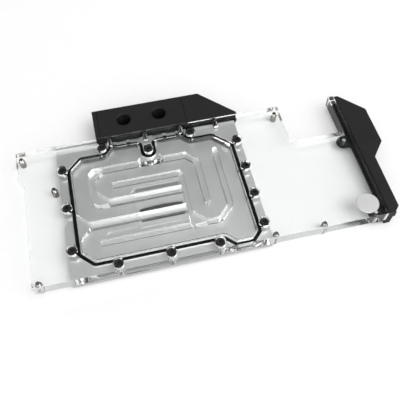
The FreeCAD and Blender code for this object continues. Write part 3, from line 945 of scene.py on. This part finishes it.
    def shank(self, tree: NodeTree, given: Node) -> Node:
        """Winds the thread down the shank and closes its tip.

        Args:
            tree: node tree.
            given: its input node.

        Returns:
            Node with the shank, from height 0 down.
        """
        count = int(self.shank_length / self.pitch * self.rings_a_turn) + 2
        deep = add_node(tree, MATH, {0: given.outputs["Pitch"], 1: self.thread_depth}, operation="MULTIPLY")
        sheet, share, ring, threaded, down = self.thread(
            tree, given, count, ("Shank Radius", "Shank Length"), deep)
        before_tip = add_node(tree, MATH, {0: ring, 1: 0.999}, operation="LESS_THAN")
        radius = add_node(tree, MATH, {0: threaded, 1: before_tip}, operation="MULTIPLY")
        back = add_node(tree, MATH, {0: share, 1: -1.0}, operation="MULTIPLY")
        return self.wrap(tree, sheet, back, radius, down)


@dataclass
class PortThreads(Turned):
    """The pipe thread in both ports, as a ridged sleeve that lines the bore. Sizes in millimetres."""

    node: str = "terminal_block"
    seals: tuple[str, str] = ("terminal_gasket_left", "terminal_gasket_right")
    bore_radius: float = 5.72
    ridge: float = 0.62
    pitch: float = 1.337
    length: float = 11.4
    below_mouth: float = 0.95
    behind_middle: float = 0.6
    rings_a_turn: int = 6
    crease: float = 20.0

    def build(self) -> Object:
        """Lines each bore with its thread.

        Returns:
            The finished piece.
        """
        sizes = {"Bore Radius": self.bore_radius, "Ridge": self.ridge, "Pitch": self.pitch,
                 "Length": self.length}
        tree, given = self.tree({name: "NodeSocketFloat" for name in sizes})
        count = int(self.length / self.pitch * self.rings_a_turn) + 1
        deep = add_node(tree, MATH, {0: given.outputs["Ridge"], 1: 2.0}, operation="MULTIPLY")
        sheet, share, _, radius, down = self.thread(tree, given, count, ("Bore Radius", "Length"), deep)
        self.close(tree, given, self.wrap(tree, sheet, share, radius, down))
        back = middle(self.node).y + self.behind_middle * MM
        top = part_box(self.node)[1].z - self.below_mouth * MM
        points = [Vector((middle(seal).x, back, top)) for seal in self.seals]
        piece = self.grow(tree, points, {name: value * MM for name, value in sizes.items()})
        smooth_below(piece.data, self.crease)
        return self.settle(piece, "black_acetal")


@dataclass
class FinBlades(GraphPiece):
    """Thin fins between the solid's fins, so that the field is as fine as the real one. Millimetres."""

    node: str = "jet_plate"
    pitch: float = 0.8
    count: int = 43
    thick: float = 0.14
    tall: float = 2.0
    long: float = 33.0
    shy: float = 0.02
    behind_middle: float = 4.37

    def build(self) -> Object:
        """Stands one blade in the middle of each slot, a little shy of its full height.

        Returns:
            The finished piece.
        """
        tree, given = self.tree({"Blade": "NodeSocketVector"})
        blade = add_node(tree, "GeometryNodeMeshCube", {"Size": given.outputs["Blade"]})
        self.close(tree, given, blade)
        centre = middle(self.node)
        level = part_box(self.node)[0].z - self.tall * MM / 2
        start = centre.x - (self.count - 1) * self.pitch * MM / 2
        back = centre.y + self.behind_middle * MM
        points = [Vector((start + i * self.pitch * MM, back, level)) for i in range(self.count)]
        size = Vector((self.thick * MM, self.long * MM, (self.tall - self.shy) * MM))
        return self.settle(self.grow(tree, points, {"Blade": size}), "nickel_plating")


@dataclass
class Fasteners:
    """Every screw of the block, each on the seat of its node. Sizes in millimetres."""

    clamp_lift: float = 10.0
    head_height: float = 4.0
    ears: tuple[str, str] = ("cover_screw_1", "cover_screw_2")
    ear_head: float = 1.8
    bevel: str = "bevel_screw"
    bevel_radius: float = 2.1
    bevel_head: float = 1.5

    def build(self) -> None:
        """Builds the screws of the cover, the terminal, the ears and the cut corner."""
        self.clamp()
        self.lying()
        self.ear()
        self.corner()

    def seat(self, node: str, lift: float) -> Vector:
        """Finds where an upright screw's head rests.

        Args:
            node: the screw's node.
            lift: height of the seat above the node's lowest point.

        Returns:
            The seat in metres.
        """
        place = middle(node)
        place.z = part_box(node)[0].z + lift * MM
        return place

    def named(self, *starts: str) -> tuple[str, ...]:
        """Lists the nodes whose names start so, in order."""
        return tuple(sorted(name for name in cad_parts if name.startswith(starts)))

    def clamp(self) -> None:
        """Builds the screws that clamp the clear cover to the plate."""
        names = self.named("screw_")
        seats = [self.seat(name, self.clamp_lift) for name in names]
        SocketScrews("clamp_screws", BLACK_OXIDE, seats=seats, nodes=names).build()

    def lying(self) -> None:
        """Builds the screws that lie in the terminal and its fairing, heads to the back."""
        for name in self.named("terminal_screw", "fairing_screw"):
            low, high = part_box(name)
            seat = middle(name)
            seat.y = high.y - self.head_height * MM
            SocketScrews(name + "_threaded", BLACK_OXIDE, seats=[seat], turn=(-math.pi / 2, 0.0, 0.0),
                         head_height=self.head_height, nodes=(name,),
                         shank_length=(high.y - low.y) / MM - self.head_height).build()

    def ear(self) -> None:
        """Builds the two low screws that hold the end cover from below."""
        seats = [self.seat(name, self.ear_head) for name in self.ears]
        SocketScrews("cover_screws", ZINC_STEEL, seats=seats, turn=(math.pi, 0.0, 0.0), head_radius=2.75,
                     head_height=self.ear_head, shank_radius=1.5, shank_length=6.0, hex_across=2.0,
                     hex_depth=1.2, pitch=0.5, slot="zinc_steel", nodes=self.ears).build()

    def corner(self) -> None:
        """Builds the small screw that lies across the cut front corner."""
        low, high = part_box(self.bevel)
        inset = (self.bevel_radius + self.bevel_head) * math.sqrt(0.5) * MM
        seat = Vector((high.x - inset, low.y + inset, middle(self.bevel).z))
        SocketScrews(self.bevel + "_threaded", BLACK_OXIDE, seats=[seat],
                     turn=(0.0, math.pi / 2, -math.pi / 4), head_radius=self.bevel_radius,
                     head_height=self.bevel_head, shank_radius=1.25, shank_length=4.5, hex_across=1.5,
                     hex_depth=0.9, pitch=0.45, nodes=(self.bevel,)).build()


@dataclass
class Dressing:
    """Finishes for the CAD nodes that stay as they are, by the start of their names."""

    finishes: dict[str, Finish] = field(default_factory=lambda: {
        "cold_plate": NICKEL_PLATE, "jet_plate": STAINLESS_SHEET,
        "terminal_gasket": NITRILE_RUBBER, "terminal_block": BLACK_ACETAL,
        "terminal_end_plate": BLACK_ACETAL, "terminal_fairing": BLACK_ACETAL,
        "end_cover": BLACK_ANODISED, "badge_disc": TURNED_ALUMINIUM, "standoff": NICKEL_BRASS})

    def apply(self) -> None:
        """Gives each shown node the finish whose name starts its own."""
        for name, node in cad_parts.items():
            for start, finish in self.finishes.items():
                if name.startswith(start) and not node.hide_render:
                    node.data.materials.clear()
                    node.data.materials.append(finish.material())
                    log.info("%s: %s", name, finish.name)


@dataclass(frozen=True)
class SkyRamp:
    """A soft step in the sky's level, by the cosine to one direction. A mirrored one has it on both sides."""

    way: Triple
    start: float
    end: float
    before: float
    after: float
    mirrored: bool = False

    def level(self, tree: NodeTree, place: Feed) -> Node:
        """Builds the ramp.

        Args:
            tree: node tree.
            place: what carries the direction in the sky.

        Returns:
            Node with the level.
        """
        facing = add_node(tree, "ShaderNodeVectorMath", {0: place, 1: Vector(self.way).normalized()},
                          operation="DOT_PRODUCT").outputs["Value"]
        if self.mirrored:
            facing = add_node(tree, MATH, {0: facing}, operation="ABSOLUTE")
        return add_node(tree, "ShaderNodeMapRange", {
            "Value": facing, "From Min": self.start, "From Max": self.end, "To Min": self.before,
            "To Max": self.after}, interpolation_type="SMOOTHSTEP")


@dataclass
class Studio:
    """The pale floor, the light and the camera. Lengths are millimetres, the lamp's power is watts."""

    floor_half: float = 4000.0
    floor_matt: str = "#d2d2d2"
    floor_seen: str = "#e2e2e2"
    floor_glow: float = 0.10
    white: str = "#ffffff"
    overhead: SkyRamp = SkyRamp((0.50, -0.40, 0.75), 0.20, 0.90, 0.78, 1.50)
    gap: SkyRamp = SkyRamp((0.0, -0.84, 0.54), 0.11, 0.24, 0.05, 1.0, mirrored=True)
    lamp_place: Triple = (900, -600, 1400)
    lamp_side: float = 1200.0
    lamp_power: float = 11.0
    eye: Triple = (-58.49, -233.70, 361.99)
    aim: Triple = (-11.23, -30.60, 16.5)
    lens: float = 48.42
    sensor: float = 36.0
    nearest: float = 10.0

    def build(self) -> None:
        """Sets up everything that isn't part of the object."""
        bpy.context.scene.view_settings.view_transform = "Standard"
        self.floor()
        self.world()
        self.lamp()
        self.camera()

    def floor(self) -> None:
        """Lays a pale floor that looks white and keeps the object's shadow."""
        half = self.floor_half * MM
        mesh = bpy.data.meshes.new("studio_floor")
        outline = [(-half, -half, 0), (half, -half, 0), (half, half, 0), (-half, half, 0)]
        mesh.from_pydata(outline, [], [(0, 1, 2, 3)])
        floor = new_object("studio_floor", mesh)
        paint = bpy.data.materials.new("studio_white")
        paint.use_nodes = True
        tree = paint.node_tree
        tree.nodes.clear()
        matt, shade = [add_node(tree, "ShaderNodeBsdfDiffuse", {"Color": linear(colour)})
                       for colour in (self.floor_matt, self.floor_seen)]
        glow = add_node(tree, "ShaderNodeEmission", {
            "Color": linear(self.white), "Strength": self.floor_glow})
        seen = add_node(tree, "ShaderNodeAddShader", {0: shade, 1: glow})
        path = add_node(tree, "ShaderNodeLightPath").outputs
        shown = add_node(tree, MATH, {
            0: path["Is Camera Ray"], 1: path["Is Transmission Ray"]}, operation="MAXIMUM")
        mixed = add_node(tree, "ShaderNodeMixShader", {0: shown, 1: matt, 2: seen})
        add_node(tree, "ShaderNodeOutputMaterial", {"Surface": mixed})
        mesh.materials.append(paint)

    def world(self) -> None:
        """Lights the studio from overhead, with a dark gap that runs from left to right across the sky."""
        world = bpy.data.worlds.new("studio")
        bpy.context.scene.world = world
        world.use_nodes = True
        tree = world.node_tree
        tree.nodes.clear()
        place = add_node(tree, "ShaderNodeTexCoord").outputs["Generated"]
        bright, dark = [ramp.level(tree, place) for ramp in (self.overhead, self.gap)]
        level = add_node(tree, MATH, {0: bright, 1: dark}, operation="MULTIPLY")
        light, seen = [add_node(tree, "ShaderNodeBackground", {
            "Color": linear(self.white), "Strength": strength}) for strength in (level, 1.0)]
        shown = add_node(tree, "ShaderNodeLightPath").outputs["Is Camera Ray"]
        mixed = add_node(tree, "ShaderNodeMixShader", {0: shown, 1: light, 2: seen})
        add_node(tree, "ShaderNodeOutputWorld", {"Surface": mixed})

    def lamp(self) -> None:
        """Hangs one large soft lamp, aimed at the origin."""
        data = bpy.data.lights.new("key_softbox", "AREA")
        data.shape = "SQUARE"
        data.size = self.lamp_side * MM
        data.energy = self.lamp_power
        lamp = new_object("key_softbox", data)
        lamp.location = Vector(self.lamp_place) * MM
        lamp.rotation_euler = (-Vector(self.lamp_place)).to_track_quat("-Z", "Y").to_euler()

    def camera(self) -> None:
        """Stands the camera where the photograph was taken from."""
        data = bpy.data.cameras.new("photo_camera")
        data.sensor_width = self.sensor
        data.lens = self.lens
        data.clip_start = self.nearest * MM
        camera = new_object("photo_camera", data)
        camera.location = Vector(self.eye) * MM
        look = Vector(self.aim) - Vector(self.eye)
        camera.rotation_euler = look.to_track_quat("-Z", "Y").to_euler()
        bpy.context.scene.camera = camera


def main() -> None:
    """Builds the scene in order."""
    logging.basicConfig(level=logging.INFO, format="%(name)s %(message)s")
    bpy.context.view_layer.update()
    Studio().build()
    ClearCover("clear_cover", CLEAR_ACRYLIC).build()
    Fasteners().build()
    PressedFaces().build()
    CordSeal("seal_cord", NITRILE_RUBBER).build()
    PortThreads("port_threads", PORT_ACETAL_PAINTED_SHADE).build()
    FinBlades("fin_blades", FIN_PLATE_PAINTED_SHADE).build()
    Dressing().apply()


if __name__ == "__main__":
    main()
